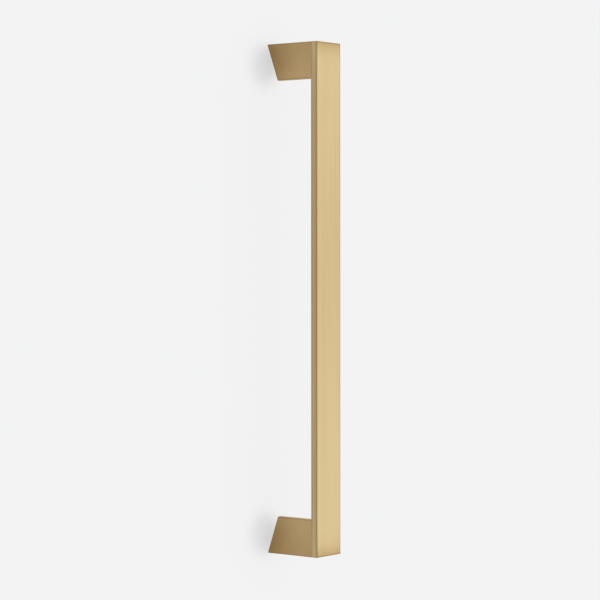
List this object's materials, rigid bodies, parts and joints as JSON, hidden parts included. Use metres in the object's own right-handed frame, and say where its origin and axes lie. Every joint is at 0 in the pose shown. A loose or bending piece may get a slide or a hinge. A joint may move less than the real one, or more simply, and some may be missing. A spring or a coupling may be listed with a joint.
{
  "type": "cabinet pull",
  "caption": "Flat bar cabinet pull in satin brass, its wedge-shaped feet flush with the ends of the bar and tapped for screws from behind.",
  "frame": {"origin": "on the mounting surface, midway between the two mounting screws", "axes": "+Z along the bar, towards the upper foot; +X across the bar; -Y out of the door, towards the hand"},
  "size_m": [0.0206, 0.033, 0.269],
  "materials": {
    "bar_brass": "satin, brushed along the bar",
    "foot_brass": "satin, brushed along the bar"
  },
  "bodies": {
    "root": {"grip_bar": "bar_brass", "upper_foot": "foot_brass", "lower_foot": "foot_brass"}
  },
  "joints": []
}
